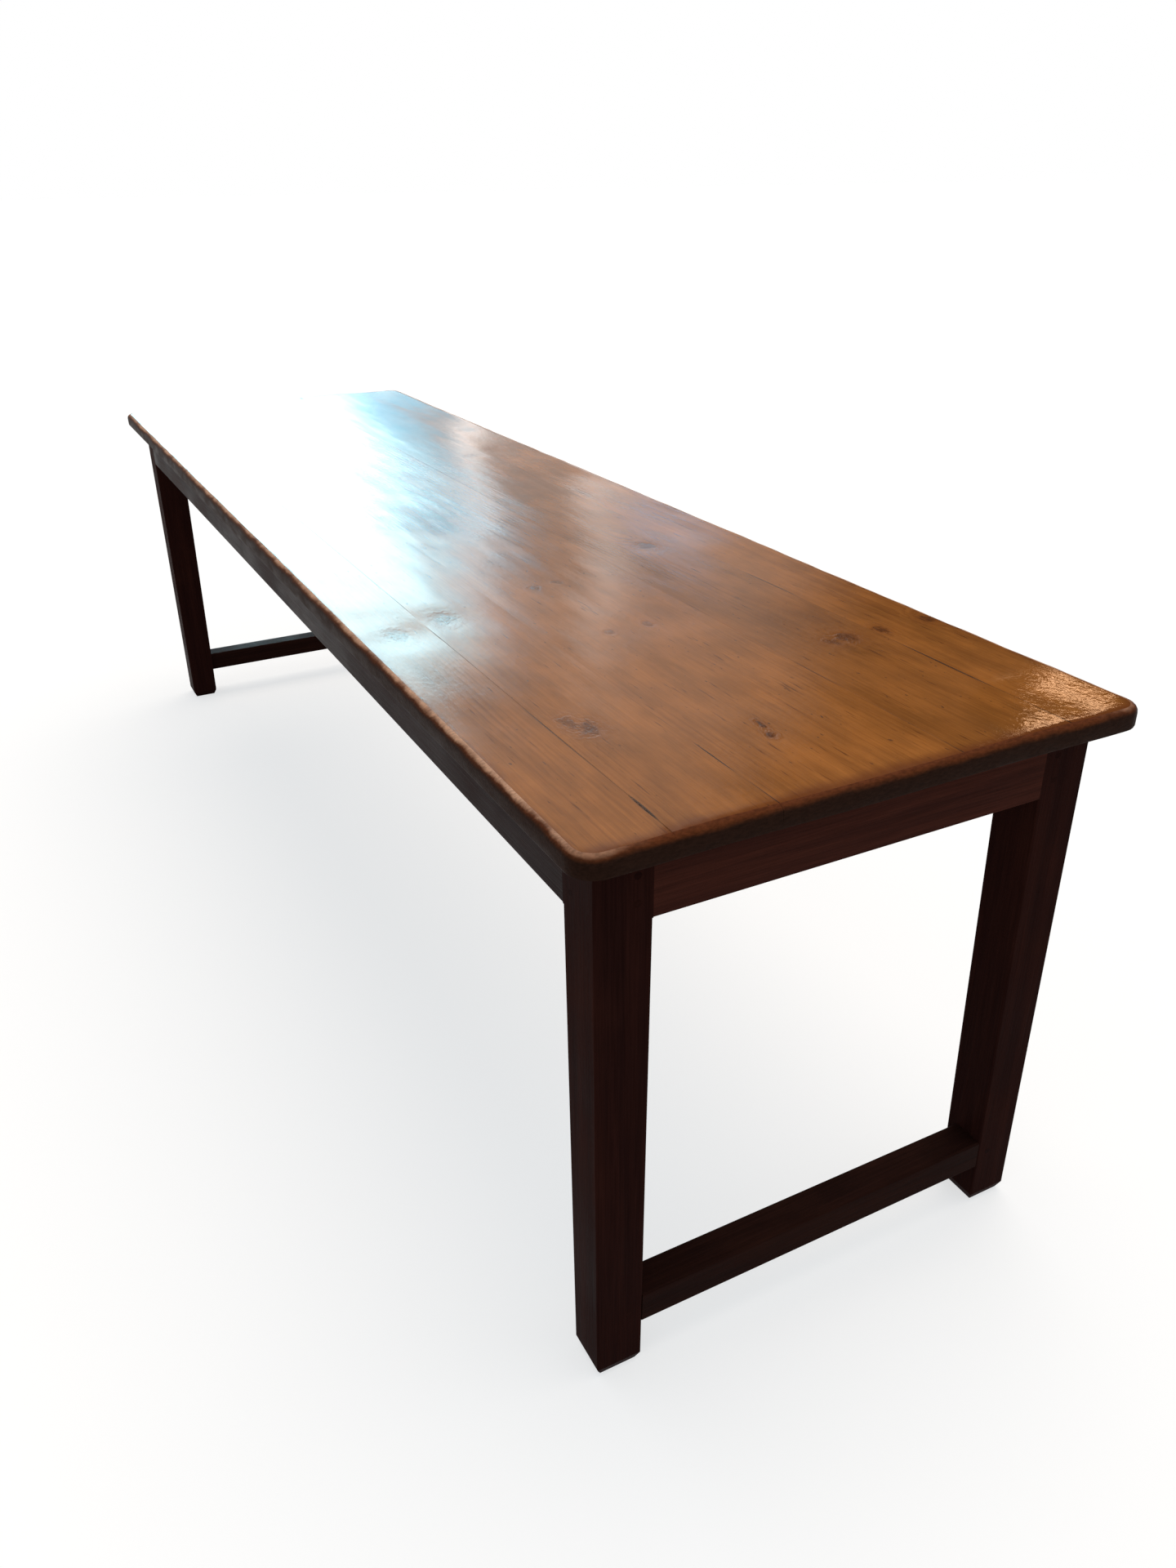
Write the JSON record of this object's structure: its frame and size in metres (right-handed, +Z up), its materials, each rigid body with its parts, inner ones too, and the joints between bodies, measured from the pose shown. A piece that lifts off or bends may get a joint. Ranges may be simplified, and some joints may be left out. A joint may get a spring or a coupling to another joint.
{
  "type": "refectory table",
  "caption": "Long pine-topped refectory table on a dark stained frame of square tapered legs, shallow flush rails and low end stretchers, for dining.",
  "frame": {"origin": "on the floor under the middle of the table", "axes": "+X along the table towards its right end, +Y towards the back long side, +Z up"},
  "size_m": [2.55, 0.728, 0.76],
  "materials": {
    "pine_top": "old waxed pine, semi-gloss",
    "dark_frame": "very dark red-brown stain under worn polish",
    "bare_wood": "unfinished, aged",
    "screw_steel": "dull"
  },
  "bodies": {
    "root": {"top_board_1": "pine_top", "top_board_2": "pine_top", "top_board_3": "pine_top", "top_board_4": "pine_top", "top_board_5": "pine_top", "top_tongue_1": "bare_wood", "top_tongue_2": "bare_wood", "top_tongue_3": "bare_wood", "top_tongue_4": "bare_wood", "leg_front_left": "dark_frame", "leg_front_right": "dark_frame", "leg_back_left": "dark_frame", "leg_back_right": "dark_frame", "side_rail_front": "dark_frame", "side_rail_back": "dark_frame", "end_rail_left": "dark_frame", "end_rail_right": "dark_frame", "end_stretcher_left": "dark_frame", "end_stretcher_right": "dark_frame", "cross_bearer_1": "bare_wood", "cross_bearer_2": "bare_wood", "cross_bearer_3": "bare_wood", "top_buttons": "bare_wood", "side_rail_pegs": "dark_frame", "end_rail_pegs": "dark_frame", "stretcher_pegs": "dark_frame", "button_screws": "screw_steel", "bearer_screws": "screw_steel"}
  },
  "joints": []
}
